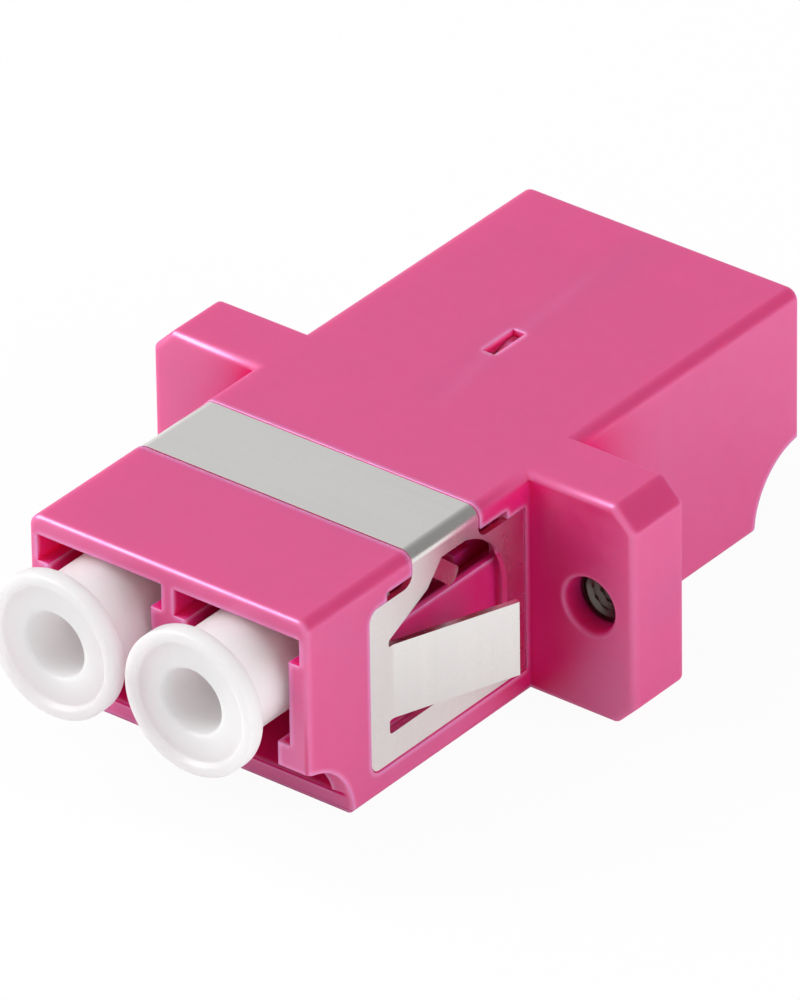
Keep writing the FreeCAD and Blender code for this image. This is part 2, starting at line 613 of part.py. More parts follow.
def make_clip():
    """The mounting clip, folded from one strip of spring steel over the top of the housing."""
    body = new_body("mounting_clip")
    inner_radius = "clip_bend_radius - sheet_thickness"
    extrude(body, "section", "folded_strip",
            lambda s: outline(s, [
                (CLIP_IN, "plate_bottom"), (CLIP_OUT, "plate_bottom"),
                (CLIP_OUT, CLIP_TURN, "clip_bend_radius", 1), (CLIP_FLAT, TOP),
                ("-" + CLIP_FLAT, TOP, "clip_bend_radius", 1), ("-" + CLIP_OUT, CLIP_TURN),
                ("-" + CLIP_OUT, "plate_bottom"), ("-" + CLIP_IN, "plate_bottom"),
                ("-" + CLIP_IN, CLIP_TURN, inner_radius, -1), ("-" + CLIP_FLAT, CLIP_UNDER),
                (CLIP_FLAT, CLIP_UNDER, inner_radius, -1), (CLIP_IN, CLIP_TURN),
            ]),
            PLATE_FRONT, "plate_length")
    trim_clip_shoulders(body)
    extrude(body, "side", "windows", window_outline, length=ACROSS, towards=0, cut=True)
    round_corners(body, "window_low", "window_corner_radius", WINDOW_FRONT, WINDOW_LOW, grows=True)
    round_corners(body, "window_tip", "window_corner_radius", WINDOW_FRONT, WINDOW_TIP, grows=True)
    for name, side in SIDES:
        add_leaf(body, name, side)
        add_tab(body, name, side)
    round_corners(body, "relief_low", "relief_radius", WINDOW_FRONT, LEAF_LOW, grows=True)
    round_corners(body, "relief_high", "relief_radius", WINDOW_FRONT, LEAF_TOP, grows=True)
    return body


def round_corners(body, name, radius, along, up, grows=False):
    """Rounds the corners of both side plates at one place, seen from the side."""
    dress(body, "Fillet", name, radius, lambda point: near(point.y, along) and near(point.z, up), grows)


def trim_clip_shoulders(body):
    """Cuts the top strip narrower than the side plates, with rounded corners."""
    high = TOP + " + " + BEYOND
    ahead, behind = PLATE_FRONT + " - " + BEYOND, PLATE_REAR + " + " + BEYOND
    corner = "plate_corner_radius"
    extrude(body, "side", "front_shoulder",
            lambda s: outline(s, [
                (STRIP_FRONT, high), (ahead, high), (ahead, PLATE_TOP),
                ("%s - %s" % (STRIP_FRONT, corner), PLATE_TOP, corner, 1),
                (STRIP_FRONT, "%s + %s" % (PLATE_TOP, corner)),
            ]),
            length=ACROSS, towards=0, cut=True)
    extrude(body, "side", "rear_shoulder",
            lambda s: outline(s, [
                (STRIP_REAR, high), (STRIP_REAR, "%s + %s" % (PLATE_TOP, corner), corner, 1),
                ("%s + %s" % (STRIP_REAR, corner), PLATE_TOP), (behind, PLATE_TOP), (behind, high),
            ]),
            length=ACROSS, towards=0, cut=True)
    round_corners(body, "plate_low", "plate_edge_radius", PLATE_FRONT, "plate_bottom")
    round_corners(body, "plate_high", "plate_edge_radius", PLATE_FRONT, PLATE_TOP)


def window_outline(sketch):
    """The window that the leaf and the tab are cut from: sloping front edge, rounded upper rear corner."""
    outline(sketch, [
        (WINDOW_FRONT, WINDOW_LOW), (WINDOW_REAR, WINDOW_LOW),
        (WINDOW_REAR, WINDOW_TOP + " - window_arc_height", "window_arc_radius", 1),
        (WINDOW_REAR + " - window_arc_width", WINDOW_TOP), (TAB_TOP_START, WINDOW_TOP),
        (KNEE, KNEE_HEIGHT), (WINDOW_FRONT, WINDOW_TIP),
    ])


def bent_strip(sketch, side, root, lap, radius, angle, length, outward):
    """The edge of a strip that leaves the side plate at root and bends outward (1) or inward (-1).

    The bend's centre lies on the concave side of the plate. X is across the body and Y runs along it.
    """
    near_face, far_face = (CLIP_OUT, CLIP_IN) if outward > 0 else (CLIP_IN, CLIP_OUT)
    cosine, sine = "cos(%s * 1deg)" % angle, "sin(%s * 1deg)" % angle
    turn_way = -outward * side

    def across(text):
        return "%d * (%s)" % (side, text)

    def bend_end(bend):
        return ("%s + %d * (%s - (%s) * %s)" % (near_face, outward, radius, bend, cosine),
                "%s + (%s) * %s" % (root, bend, sine))

    inner_x, inner_y = bend_end(radius)
    outer_x, outer_y = bend_end(radius + " + sheet_thickness")
    reach_x, reach_y = "%d * %s * %s" % (outward, length, sine), "%s * %s" % (length, cosine)
    outline(sketch, [
        (across(near_face), "%s - %s" % (root, lap)),
        (across(far_face), "%s - %s" % (root, lap)),
        (across(far_face), root, radius + " + sheet_thickness", turn_way),
        (across(outer_x), outer_y),
        (across(outer_x + " + " + reach_x), outer_y + " + " + reach_y),
        (across(inner_x + " + " + reach_x), inner_y + " + " + reach_y),
        (across(inner_x), inner_y, radius, -turn_way),
        (across(near_face), root),
    ])


def add_leaf(body, name, side):
    """The spring leaf that stands out of the window and grips the panel."""
    extrude(body, "plan", name + "_leaf",
            lambda s: bent_strip(s, side, WINDOW_FRONT + " + leaf_relief", "(leaf_relief + root_lap)",
                                 "leaf_bend_radius", "leaf_angle", "leaf_length", 1),
            LEAF_LOW, "%s - %s" % (LEAF_TOP, LEAF_LOW))


def add_tab(body, name, side):
    """The inward tab on the window's upper front slope, square to that bend line, with a round tip."""
    before = body.Shape.Volume
    sketch = new_sketch(body, "plan", name + "_tab_sketch")
    sketch.AttachmentOffset = Placement(Vector(), Rotation(Vector(-1, 0, 0), value("tab_tilt")))
    sketch.setExpression(".AttachmentOffset.Base.y", formula(TAB_TOP_START))
    sketch.setExpression(".AttachmentOffset.Base.z", formula(WINDOW_TOP))
    sketch.setExpression(".AttachmentOffset.Rotation.Angle", formula("tab_tilt * 1deg"))
    doc.recompute()
    bent_strip(sketch, side, "0", "root_lap", "leaf_bend_radius", "tab_angle", TAB_LENGTH, -1)
    feature = body.newObject("PartDesign::Pad", name + "_tab")
    feature.Profile = sketch
    feature.setExpression("Length", formula("tab_height"))
    feature.Reversed = True
    sketch.Visibility = False
    settle(body, before, True, name + "_tab")
    tilt = math.radians(value("tab_tilt"))
    tip = value("leaf_bend_radius * sin(tab_angle * 1deg) + %s * cos(tab_angle * 1deg)" % TAB_LENGTH)
    for edge, drop in (("high", "0"), ("low", "tab_height")):
        def at_tip(point):
            back, up = point.y - value(TAB_TOP_START), point.z - value(WINDOW_TOP)
            run = back * math.cos(tilt) - up * math.sin(tilt)
            along_bend = -back * math.sin(tilt) - up * math.cos(tilt)
            return point.x * side > 0 and run > tip - 1e-4 and near(along_bend, drop)
        dress(body, "Fillet", "%s_tab_%s" % (name, edge), "tab_tip_radius", at_tip)


def make_dust_cap(name, side):
    """A moulded cap: grip disc with a sunk face and a blind bore, and a barrel open at its end."""
    body = new_body("dust_cap_" + name)
    length = "cap_standoff + cap_insertion"
    rim = CAP_DISC_RADIUS + " - cap_rim_width"
    edge = "cap_edge_bevel"
    edge_start = "%s - %s" % (CAP_DISC_RADIUS, edge)
    tail_floor = "cap_bore_depth + cap_partition"
    turn(body, "moulding", [
        ("cap_bore_depth", "0"), ("cap_bore_depth", "cap_bore_radius"),
        ("cap_dish_depth", "cap_bore_radius"), ("cap_dish_depth", rim + " - cap_dish_draft"),
        ("0", rim), ("0", edge_start), (edge, CAP_DISC_RADIUS),
        ("cap_disc_thickness - " + edge, CAP_DISC_RADIUS), ("cap_disc_thickness", edge_start),
        ("cap_disc_thickness", CAP_BARREL_RADIUS), (length + " - cap_tip_chamfer", CAP_BARREL_RADIUS),
        (length, CAP_BARREL_RADIUS + " - cap_tip_chamfer"), (length, "cap_tail_bore_radius"),
        (tail_floor, "cap_tail_bore_radius"), (tail_floor, "0"),
    ])
    place_body(body, optical_axis(side), FRONT + " - cap_standoff", OPTICAL_HEIGHT)
    return body


def make_sleeve(name, side):
    """A ceramic alignment sleeve, slit along its top so that it grips both ferrules."""
    body = new_body("alignment_sleeve_" + name)
    length = "(%s + %s - 2 * sleeve_play)" % (FRONT_POCKET, REAR_POCKET)

    def ring(sketch):
        circle(sketch, "0", "0", "sleeve_outer_radius")
        circle(sketch, "0", "0", "sleeve_outer_radius - sleeve_wall")

    extrude(body, "section", "tube", ring, length=length)
    extrude(body, "section", "slit",
            lambda s: rectangle(s, "-sleeve_slit / 2", "0", "sleeve_slit / 2", "2 * sleeve_outer_radius"),
            length=length, cut=True)
    place_body(body, optical_axis(side), "optical_plane - %s + sleeve_play" % FRONT_POCKET, OPTICAL_HEIGHT)
    return body


def make_insert(name, side):
    """A threaded brass bush, pressed into the ear from the rear, with a ring groove that locks it."""
    body = new_body("threaded_insert_" + name)
    groove = "insert_radius - insert_groove_depth"
    groove_start = "(insert_length - insert_groove_width) / 2"
    groove_end = "(insert_length + insert_groove_width) / 2"
    turn(body, "bush", [
        ("0", "insert_bore_radius"), ("0", "insert_radius"), (groove_start, "insert_radius"),
        (groove_start, groove), (groove_end, groove), (groove_end, "insert_radius"),
        ("insert_length", "insert_radius"), ("insert_length", "insert_bore_radius"),
    ])
    place_body(body, "%d * %s" % (side, SCREW_AXIS), "flange_thickness - insert_length", TOP + " / 2")
    return body


def check_document():
    """Stops if any object of the document failed to compute."""
    for item in doc.Objects:
        if "Invalid" in item.State or "Error" in item.State:
            raise ValueError("%s is %s" % (item.Label, item.State))


def export(bodies):
    """Writes each piece to its own file, once it is known to be one valid solid."""
    os.makedirs("parts", exist_ok=True)
    for body in bodies:
        shape = body.Shape
        if shape.isNull() or not shape.isValid() or len(shape.Solids) != 1:
            raise ValueError("%s isn't one valid solid" % body.Label)
        shape.exportStep(os.path.join("parts", body.Label + ".step"))
        print("%-24s %9.3f mm3  %4d faces" % (body.Label, shape.Volume, len(shape.Faces)))


fill_sheet()
pieces = [make_housing(), make_retainer(), make_clip()]
for side_name, side_sign in SIDES:
    pieces.append(make_dust_cap(side_name, side_sign))
    pieces.append(make_sleeve(side_name, side_sign))
    pieces.append(make_insert(side_name, side_sign))
doc.recompute()
check_document()
export(pieces)
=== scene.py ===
"""Duplex fibre adapter: a magenta moulding with a folded spring clip, dust caps, inserts and sleeves.

Everything is in metres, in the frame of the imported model: +X across both ports, +Y from the capped
front end to the open rear end, +Z up.
"""

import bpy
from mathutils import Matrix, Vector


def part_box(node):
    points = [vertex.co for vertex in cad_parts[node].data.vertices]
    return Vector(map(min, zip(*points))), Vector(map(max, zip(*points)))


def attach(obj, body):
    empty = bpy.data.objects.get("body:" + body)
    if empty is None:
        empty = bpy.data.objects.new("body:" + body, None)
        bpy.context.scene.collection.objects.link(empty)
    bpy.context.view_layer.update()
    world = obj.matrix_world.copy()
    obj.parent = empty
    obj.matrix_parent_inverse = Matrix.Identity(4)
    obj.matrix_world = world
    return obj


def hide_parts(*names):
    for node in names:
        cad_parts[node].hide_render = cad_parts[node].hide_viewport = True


bl_info = {
    "name": "Duplex Fibre Adapter",
    "version": (1, 0, 0),
    "blender": (4, 5, 0),
    "location": "View3D > Sidebar > Adapter",
    "description": "Dresses the pieces of a duplex fibre adapter and lays out its stage",
    "category": "Add Mesh",
}

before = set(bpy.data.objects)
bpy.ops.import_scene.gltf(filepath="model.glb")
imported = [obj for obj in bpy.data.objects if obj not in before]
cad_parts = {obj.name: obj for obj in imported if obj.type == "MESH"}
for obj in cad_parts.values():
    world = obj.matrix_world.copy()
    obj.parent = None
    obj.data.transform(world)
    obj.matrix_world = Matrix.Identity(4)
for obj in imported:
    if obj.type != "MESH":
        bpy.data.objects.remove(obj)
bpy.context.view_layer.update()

import math

import bmesh
import bpy
import numpy as np
from bpy.props import FloatProperty, FloatVectorProperty, IntProperty, PointerProperty
from mathutils import Matrix, Vector

MM = 0.001
SIDES = ("left", "right")
AIM = (0.1, 0.38, 5.6)                # the point the camera aims at, in millimetres
KEY_SIDE = (-0.9, -0.45, 0.8)         # from the adapter towards the key light
FILL_SIDE = (0.95, 0.15, 0.4)         # and towards the fill light
LIGHT_DISTANCE, LIGHT_SIZE = 0.3, 0.2
DARK_SIDE = (0.50, 0.70, 0.50)        # towards the dark part of the room that metal mirrors
DARK_PART = {"From Min": 0.12, "From Max": 0.95, "To Min": 0.0, "To Max": 0.68}
CREASE = math.radians(25.0)           # edges of the solids that bend more than this stay sharp
FLAT = math.radians(0.3)              # faces that meet at less than this are one


def length(name, about, millimetres):
    """A size that a user can change, given in millimetres and kept in metres."""
    return FloatProperty(name=name, description=about, default=millimetres * MM,
                         subtype="DISTANCE", unit="LENGTH", precision=6)


def angle(name, about, degrees):
    """An angle that a user can change, given in degrees and kept in radians."""
    return FloatProperty(name=name, description=about, default=math.radians(degrees),
                         subtype="ANGLE", unit="ROTATION")


def colour(name, about, red, green, blue):
    """A colour that a user can change, as linear red, green and blue."""
    return FloatVectorProperty(name=name, description=about, default=(red, green, blue),
                               subtype="COLOR", min=0.0, max=1.0)


def share(name, about, amount):
    """A plain factor that a user can change."""
    return FloatProperty(name=name, description=about, default=amount, min=0.0, subtype="FACTOR")


class AdapterSizes(bpy.types.PropertyGroup):
    """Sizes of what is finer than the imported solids."""
    moulded_edge: length("Moulded edge", "Rounding of the mouldings' small edges", 0.14)
    # Painted highlight: width of the pale band painted along the mouldings' open outer edges.
    highlight_band: length("Pale edge", "Width of the paler band along the mouldings' outer edges", 0.27)
    # Painted shade: reach of the openness test that paints hollows in the shade colour.
    hollow: length("Hollow", "Reach within which walls make a hollow, where the colour deepens", 5.0)
    cap_bore: length("Cap bore", "Radius of the blind bore in a cap's face", 1.3)
    cap_bore_depth: length("Cap bore depth", "Depth of that bore", 5.0)
    cap_disc: length("Cap disc", "Thickness of a cap's grip disc", 0.75)
    cap_rim: length("Cap rim", "Width of the raised rim round the cap's face", 0.42)
    cap_dish: length("Cap dish", "How far the cap's face lies below its rim", 0.22)
    cap_draft: length("Cap draft", "Taper of the rim's inner wall", 0.12)
    cap_barrel: length("Cap barrel", "Radius of the barrel that plugs the port", 2.15)
    cap_lead_in: length("Cap lead-in", "Bevel of the barrel's end", 0.35)
    cap_tail: length("Cap tail bore", "Radius of the bore in the cap's inner end", 1.45)
    cap_partition: length("Cap partition", "Solid wall between the cap's two bores", 1.23)
    thread_core: length("Thread core", "Smallest radius of the insert's thread", 0.8)
    thread_depth: length("Thread depth", "Height of the thread's flanks", 0.2)
    thread_pitch: length("Thread pitch", "Distance from one thread turn to the next", 0.4)
    knurl_depth: length("Knurl depth", "Height of the knurl round the insert", 0.06)
    knurl_bevel: length("Knurl bevel", "Run over which the knurl fades at both ends", 0.15)
    groove_width: length("Groove width", "Ring groove round the insert, along its axis", 0.4)
    groove_depth: length("Groove depth", "Depth of that groove", 0.15)
    knurl_count: IntProperty(name="Knurl count", description="Teeth of that knurl", default=30)


class AdapterFinish(bpy.types.PropertyGroup):
    """Colours and textures of the finishes."""
    magenta: colour("Magenta", "Colour of the moulded body", 0.74, 0.014, 0.165)
    # Painted shade: the deeper crimson painted in hollows, standing for shade and the red light bounced there.
    hollow_shade_magenta: colour("Deep magenta", "Colour of the moulded body in hollows", 0.96, 0.03, 0.24)
    # Painted highlight: the paler colour painted along open edges and on the knit line.
    highlight_magenta: colour("Pale magenta", "Colour of the moulded body along its edges", 0.93, 0.25, 0.48)
    white: colour("White", "Colour of the dust caps", 0.98, 0.975, 0.97)
    steel: colour("Steel", "Colour of the spring clip", 0.94, 0.93, 0.91)
    zirconia: colour("Zirconia", "Colour of the ceramic sleeves", 0.84, 0.82, 0.74)
    # Painted shade: the plating is darkened to stand for the shade deep in the flange hole.
    shaded_nickel: colour("Nickel", "Colour of the plated inserts", 0.13, 0.115, 0.105)
    mould_grain: length("Mould grain", "Size of the fine grain that the mould leaves", 0.06)
    mould_relief: length("Mould relief", "Height of that grain", 0.0016)
    cloud_size: length("Cloud size", "Size of the faint clouds in the plastic's colour", 2.2)
    roll_line: length("Roll line", "Width of the rolling lines in the steel", 0.25)
    turning_mark: length("Turning mark", "Width of the turning marks on the inserts", 0.05)
    turning_relief: length("Turning relief", "Height of the turning marks on the inserts", 0.0004)


class AdapterStage(bpy.types.PropertyGroup):
    """Camera, floor and lights."""
    azimuth: angle("Azimuth", "Camera direction round the adapter, from the front", 38.5)
    elevation: angle("Elevation", "Camera direction above the floor", 31.55)
    roll: angle("Roll", "Camera roll", -0.86)
    distance: length("Distance", "Camera to the point it aims at", 510.0)
    focal: FloatProperty(name="Focal length", description="Lens of the camera", default=506.8,
                         subtype="DISTANCE_CAMERA", unit="CAMERA")
    sky: share("Sky", "Strength of the even light from all round", 0.45)
    key: FloatProperty(name="Key", description="Power of the soft light from the left, in front",
                       default=0.79, unit="POWER")
    fill: FloatProperty(name="Fill", description="Power of the light on the right side",
                        default=0.47, unit="POWER")
    floor_glow: share("Floor glow", "Share of the floor that shows as plain white", 0.95)
    floor_mirror: share("Floor in mirrors", "The same, where metal and plastic mirror the floor", 0.4)


def sizes():
    return bpy.context.scene.adapter_sizes


def finish():
    return bpy.context.scene.adapter_finish


class NodeTree:
    """A material's nodes. Each method adds nodes and gives back the socket that they end in."""

    def __init__(self, name):
        self.material = bpy.data.materials.new(name)
        self.material.use_nodes = True
        self.nodes = self.material.node_tree.nodes
        self.nodes.clear()
        self.output = self.add("ShaderNodeOutputMaterial")
        self.place = self.add("ShaderNodeTexCoord").outputs["Object"]

    def add(self, kind, inputs=None, **settings):
        """A node with its settings, and its inputs linked to sockets or set to values."""
        node = self.nodes.new(kind)
        for key, setting in settings.items():
            setattr(node, key, setting)
        for key, source in (inputs or {}).items():
            if isinstance(source, bpy.types.NodeSocket):
                self.material.node_tree.links.new(source, node.inputs[key])
            else:
                node.inputs[key].default_value = source
        return node

    def maths(self, operation, first, second=0.0):
        return self.add("ShaderNodeMath", {0: first, 1: second}, operation=operation).outputs[0]

    def ramp(self, socket, low, high, to_low, to_high):
        """Takes values from low to high smoothly to the range to_low to to_high."""
        inputs = {"Value": socket, "From Min": low, "From Max": high, "To Min": to_low, "To Max": to_high}
        return self.add("ShaderNodeMapRange", inputs, interpolation_type="SMOOTHSTEP").outputs[0]

    def noise(self, grain, stretch=(1.0, 1.0, 1.0), detail=2.0):
        """Noise with grains about that many metres across, stretched along X, Y and Z."""
        scale = [1.0 / (grain * factor) for factor in stretch]
        mapped = self.add("ShaderNodeMapping", {"Vector": self.place, "Scale": scale}).outputs[0]
        return self.add("ShaderNodeTexNoise", {"Vector": mapped, "Scale": 1.0, "Detail": detail}).outputs["Fac"]

    def mix(self, factor, first, second):
        """Mixes two colours, each a socket or red, green and blue."""
        both = {6: first, 7: second}
        both = {key: c if isinstance(c, bpy.types.NodeSocket) else (*c, 1.0) for key, c in both.items()}
        return self.add("ShaderNodeMix", {0: factor, **both}, data_type="RGBA").outputs[2]

    def bump(self, height, relief, under=None):
        inputs = {"Height": height, "Distance": relief, "Strength": 1.0}
        if under is not None:
            inputs["Normal"] = under
        return self.add("ShaderNodeBump", inputs).outputs[0]

    def edges(self, radius):
        """A normal that rounds the piece's edges in the shading alone."""
        return self.add("ShaderNodeBevel", {"Radius": radius}, samples=8).outputs[0]

    def openness(self, reach, samples, inside=False):
        """How open a place is, from 0 to 1: the share of directions in which the piece has no wall in reach."""
        return self.add("ShaderNodeAmbientOcclusion", {"Distance": reach}, samples=samples, inside=inside,
                        only_local=True).outputs["AO"]

    def surface(self, **inputs):
        """Ends the tree in one Principled shader with the given inputs, and gives back the material."""
        named = {key.replace("_", " ").title().replace("Ior", "IOR"): source for key, source in inputs.items()}
        shader = self.add("ShaderNodeBsdfPrincipled", named)
        self.material.node_tree.links.new(shader.outputs[0], self.output.inputs["Surface"])
        return self.material


def tinted(rgb, factor):
    """A colour made lighter or darker by a factor."""
    return tuple(min(channel * factor, 1.0) for channel in rgb)


def knit_line_highlight(tree):
    """Up to 1 along the faint line on the top face where the melt met again past the snap window; the code
    paints it paler, a painted highlight that stands for the light on the line's faint relief.

    The line stands at x = 0 beside the window and bends to x = 0.22 (5.8 - y) in front of it and to
    x = -0.07 (y - 7.7) behind it, in millimetres. It fades out 4 to 7 mm from the window.
    """
    place = tree.add("ShaderNodeSeparateXYZ", {0: tree.place}).outputs
    ahead = tree.maths("MAXIMUM", tree.maths("SUBTRACT", 5.8 * MM, place[1]), 0.0)
    behind = tree.maths("MAXIMUM", tree.maths("SUBTRACT", place[1], 7.7 * MM), 0.0)
    middle = tree.maths("SUBTRACT", tree.maths("MULTIPLY", ahead, 0.22), tree.maths("MULTIPLY", behind, 0.07))
    off = tree.maths("ABSOLUTE", tree.maths("SUBTRACT", place[0], middle))
    across = tree.ramp(off, 0.0, 0.5 * MM, 1.0, 0.0)
    reach = tree.maths("MAXIMUM", tree.maths("MULTIPLY", ahead, 1.4), behind)
    along = tree.ramp(reach, 3.0 * MM, 7.0 * MM, 1.0, 0.0)
    on_top = tree.ramp(place[2], 8.9 * MM, 9.1 * MM, 0.0, 1.0)
    return tree.maths("MULTIPLY", tree.maths("MULTIPLY", across, along), on_top)


def magenta_plastic(name, rgb):
    """Satin magenta moulding with faint clouds and a fine grain, with a painted highlight along its open outer
    edges and on a faint knit line, and painted shade in hollows: a deeper crimson colour there and its sheen
    taken away.
    """
    look = finish()
    tree = NodeTree(name)
    clouds = tree.noise(look.cloud_size, detail=3.0)
    tone = tree.mix(clouds, tinted(rgb, 0.95), tinted(rgb, 1.04))
    # Painted highlight: a tenth of the way towards the highlight colour along the knit line.
    tone = tree.mix(tree.maths("MULTIPLY", knit_line_highlight(tree), 0.10), tone, look.highlight_magenta)
    # Painted shade: hollows take the deeper crimson of shade and bounced red light.
    around = tree.openness(sizes().hollow, 12)
    hollow = tree.ramp(around, 0.3, 0.8, 1.0, 0.0)
    thin = tree.ramp(tree.openness(sizes().highlight_band, 12, inside=True), 0.55, 1.0, 1.0, 0.0)
    tone = tree.mix(hollow, tone, look.hollow_shade_magenta)
    # Painted highlight: a paler band along the thin outer edges found above, only where they lie open to the
    # light.
    edge = tree.maths("MULTIPLY", thin, tree.ramp(around, 0.4, 0.7, 0.0, 1.0))
    tone = tree.mix(edge, tone, look.highlight_magenta)
    grain = tree.noise(look.mould_grain)
    gloss = tree.ramp(tree.noise(look.cloud_size * 0.35), 0.3, 0.7, 0.36, 0.43)
    relief = tree.bump(grain, look.mould_relief, tree.edges(sizes().moulded_edge))
    # Painted shade: the specular reflection is taken away in hollows.
    haze_shaded_in_hollows = tree.ramp(around, 0.7, 1.0, 0.0, 1.0)
    return tree.surface(base_color=tone, roughness=gloss, normal=relief, ior=2.2, specular_ior_level=haze_shaded_in_hollows,
                        specular_tint=(1.0, 0.6, 1.0, 1.0), subsurface_weight=0.6,
                        subsurface_radius=(1.0, 0.1, 0.3), subsurface_scale=1.6 * MM)


def white_plastic(name, rgb):
    """Waxy white moulding that light goes some way into."""
    look = finish()
    tree = NodeTree(name)
    clouds = tree.noise(look.cloud_size, detail=3.0)
    tone = tree.mix(clouds, tinted(rgb, 0.98), tinted(rgb, 1.02))
    gloss = tree.ramp(tree.noise(look.cloud_size * 0.35), 0.3, 0.7, 0.33, 0.41)
    relief = tree.bump(tree.noise(look.mould_grain), look.mould_relief / 2)
    return tree.surface(base_color=tone, roughness=gloss, normal=relief, subsurface_weight=1.0,
                        subsurface_radius=(1.0, 0.95, 0.95), subsurface_scale=2.5 * MM)


def rolled_steel(name):
    """Satin spring steel, with fine rolling lines across the strip."""
    look = finish()
    tree = NodeTree(name)
    lines = tree.noise(look.roll_line, stretch=(60.0, 1.0, 60.0), detail=1.0)
    clouds = tree.noise(look.cloud_size)
    tone = tree.mix(lines, tinted(look.steel, 0.97), tinted(look.steel, 1.02))
    gloss = tree.ramp(clouds, 0.3, 0.7, 0.24, 0.30)
    return tree.surface(base_color=tone, metallic=1.0, roughness=gloss)


def plated_metal(name):
    """Nickel plating over brass, with faint turning marks; its colour is darkened as painted shade for the
    insert deep in the flange hole.
    """
    look = finish()
    tree = NodeTree(name)
    marks = tree.noise(look.turning_mark, stretch=(8.0, 1.0, 8.0))
    tone = tree.mix(marks, tinted(look.shaded_nickel, 0.85), tinted(look.shaded_nickel, 1.1))
    return tree.surface(base_color=tone, metallic=1.0, roughness=0.35,
                        normal=tree.bump(marks, look.turning_relief))


def ground_ceramic(name):
    """Cream zirconia with a ground gloss."""
    look = finish()
    tree = NodeTree(name)
    clouds = tree.noise(look.cloud_size * 0.2)
    tone = tree.mix(clouds, tinted(look.zirconia, 0.97), tinted(look.zirconia, 1.02))
    return tree.surface(base_color=tone, roughness=0.12, coat_weight=0.4, subsurface_weight=0.15,
                        subsurface_scale=0.3 * MM)


def new_piece(name, mesh, material):
    """An object at the origin that shows a mesh in one material."""
    piece = bpy.data.objects.new(name, mesh)
    bpy.context.scene.collection.objects.link(piece)
    mesh.materials.clear()
    mesh.materials.append(material)
    return piece


def grid_mesh(name, points, around=True, along=False):
    """A mesh from a grid of points (rows, columns, 3), closed around the columns or along the rows."""
    rows, columns = points.shape[:2]
    ids = np.arange(rows * columns).reshape(rows, columns)
    if around:
        ids = np.concatenate([ids, ids[:, :1]], axis=1)
    if along:
        ids = np.concatenate([ids, ids[:1]], axis=0)
    quads = np.stack([ids[:-1, :-1], ids[:-1, 1:], ids[1:, 1:], ids[1:, :-1]], axis=-1).reshape(-1, 4)
    mesh = bpy.data.meshes.new(name)
    mesh.from_pydata(points.reshape(-1, 3), [], quads.tolist())
    mesh.update()
    return mesh


def close_up(mesh, merge):
    """Merges the poles and seams of a mesh, turns its faces outwards and smooths it."""
    shape = bmesh.new()
    shape.from_mesh(mesh)
    bmesh.ops.remove_doubles(shape, verts=shape.verts, dist=merge)
    bmesh.ops.recalc_face_normals(shape, faces=shape.faces)
    shape.to_mesh(mesh)
    shape.free()
    mesh.polygons.foreach_set("use_smooth", np.ones(len(mesh.polygons), bool))
    mesh.set_sharp_from_angle(angle=math.radians(40.0))


def rounded(corners, steps=6):
    """A profile of straight runs with an arc at each corner.

    A corner is (along, radius, rounding). The arc of rounding r touches both runs r / tan(a / 2) from
    the corner, where a is the angle between the runs. The first and last corners stay sharp.
    """
    places = np.array([corner[:2] for corner in corners])
    line = [places[0]]
    for index in range(1, len(corners) - 1):
        corner, reach = places[index], corners[index][2]
        back, ahead = places[index - 1] - corner, places[index + 1] - corner
        back, ahead = back / np.linalg.norm(back), ahead / np.linalg.norm(ahead)
        half = 0.5 * math.acos(np.clip(back @ ahead, -1.0, 1.0))
        middle = (back + ahead) / np.linalg.norm(back + ahead)
        centre = corner + middle * reach / math.sin(half)
        first = corner + back * reach / math.tan(half) - centre
        last = corner + ahead * reach / math.tan(half) - centre
        sweep = math.pi - 2.0 * half
        t = np.linspace(0.0, 1.0, steps)[:, None]
        line.extend(centre + (np.sin((1 - t) * sweep) * first + np.sin(t * sweep) * last) / math.sin(sweep))
    line.append(places[-1])
    return np.array(line)


def revolve(profile, centre, columns=96):
    """Grid of a profile of (along Y, radius) turned about the Y axis through the centre.

    A point is centre + (r sin a, y, r cos a), with a from 0 to a full turn.
    """
    turn = np.linspace(0.0, 2.0 * np.pi, columns, endpoint=False)
    along, radius = profile[:, :1], profile[:, 1:]
    x = centre[0] + radius * np.sin(turn)
    z = centre[2] + radius * np.cos(turn)
    y = centre[1] + along + 0.0 * turn
    return np.stack([x, y, z], axis=-1)


def middle_of(node):
    """The middle of a node's box, and its lowest and highest corners."""
    low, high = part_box(node)
    return (low + high) / 2, low, high


def smoothed(node, name, material):
    """A copy of a solid with its doubles merged and its flat faces joined, smooth over its roundings."""
    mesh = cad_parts[node].data.copy()
    mesh.name = name
    shape = bmesh.new()
    shape.from_mesh(mesh)
    bmesh.ops.remove_doubles(shape, verts=shape.verts, dist=1e-6)
    bmesh.ops.dissolve_limit(shape, angle_limit=FLAT, verts=shape.verts, edges=shape.edges)
    shape.to_mesh(mesh)
    shape.free()
    mesh.polygons.foreach_set("use_smooth", np.ones(len(mesh.polygons), bool))
    mesh.set_sharp_from_angle(angle=CREASE)
    piece = new_piece(name, mesh, material)
    piece.modifiers.new("Flat shading", "WEIGHTED_NORMAL").keep_sharp = True
    return piece


def stand_for(piece, node, body):
    """The piece shows in place of a node and moves with its body."""
    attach(piece, body)
    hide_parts(node)


class ADAPTER_OT_housing(bpy.types.Operator):
    """Shows the housing with rounded edges in satin magenta."""
    bl_idname = "adapter.housing"
    bl_label = "Housing"

    def execute(self, context):
        plastic = magenta_plastic("magenta_moulding", finish().magenta)
        piece = smoothed("housing", "housing_moulding", plastic)
        stand_for(piece, "housing", "adapter")
        return {"FINISHED"}


